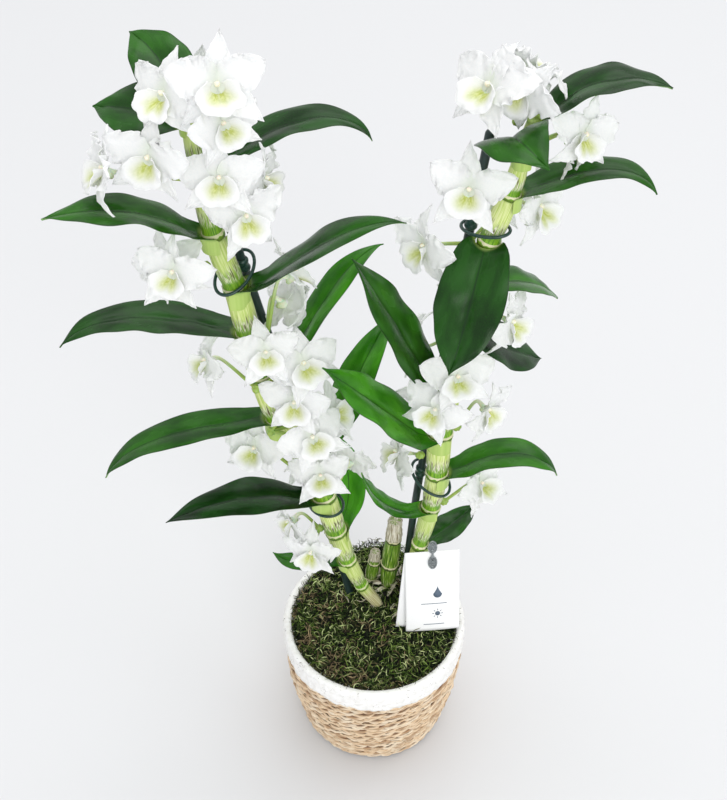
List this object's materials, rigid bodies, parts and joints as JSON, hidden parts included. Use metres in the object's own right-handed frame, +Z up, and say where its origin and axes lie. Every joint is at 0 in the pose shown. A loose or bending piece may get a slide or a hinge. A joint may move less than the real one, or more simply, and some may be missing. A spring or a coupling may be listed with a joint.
{
  "type": "potted orchid in a basket",
  "caption": "Potted dendrobium orchid with leaning canes of leaves and white flowers, staked and clipped, moss over the pot, in a round woven basket with a folded care card.",
  "frame": {"origin": "centre of the basket's flat underside", "axes": "+Z up along the basket's axis, +X towards the plant's right-hand cane, -Y towards its front"},
  "size_m": [0.3681, 0.1498, 0.6272],
  "materials": {
    "seagrass": "woven natural fibre, rim band painted white",
    "pot_plastic": "matt moulded plastic",
    "bark": "rough, loose",
    "moss": "soft, matted strands",
    "cane": "waxy, lightly ribbed",
    "old_cane": "dry, papery",
    "stake": "satin",
    "clip": "satin coated wire",
    "leaf": "waxy, satin",
    "petal": "soft, slightly translucent",
    "card": "uncoated",
    "card_clip": "satin"
  },
  "bodies": {
    "root": {"basket": "seagrass", "grow_pot": "pot_plastic", "bark": "bark", "moss": "moss", "cane_left": "cane", "cane_right": "cane", "old_cane": "old_cane", "old_bulb": "old_cane", "stake_left": "stake", "stake_right": "stake", "clip_left_upper": "clip", "clip_left_lower": "clip", "clip_right_upper": "clip", "clip_right_lower": "clip", "care_card": "card", "card_clip": "card_clip", "leaf_left_1": "leaf", "leaf_left_2": "leaf", "leaf_left_3": "leaf", "leaf_left_4": "leaf", "leaf_left_5": "leaf", "leaf_left_6": "leaf", "leaf_left_7": "leaf", "leaf_left_8": "leaf", "leaf_left_9": "leaf", "leaf_left_10": "leaf", "leaf_left_11": "leaf", "leaf_left_12": "leaf", "leaf_right_1": "leaf", "leaf_right_2": "leaf", "leaf_right_3": "leaf", "leaf_right_4": "leaf", "leaf_right_5": "leaf", "leaf_right_6": "leaf", "leaf_right_7": "leaf", "leaf_right_8": "leaf", "leaf_right_9": "leaf", "leaf_right_10": "leaf", "leaf_right_11": "leaf", "flowers_left_1": "petal", "flowers_left_2": "petal", "flowers_left_3": "petal", "flowers_left_4": "petal", "flowers_left_5": "petal", "flowers_left_6": "petal", "flowers_left_7": "petal", "flowers_left_8": "petal", "flowers_left_9": "petal", "flowers_left_10": "petal", "flowers_right_1": "petal", "flowers_right_2": "petal", "flowers_right_3": "petal", "flowers_right_4": "petal", "flowers_right_5": "petal", "flowers_right_6": "petal", "flowers_right_7": "petal", "flowers_right_8": "petal", "flowers_right_9": "petal"}
  },
  "joints": []
}
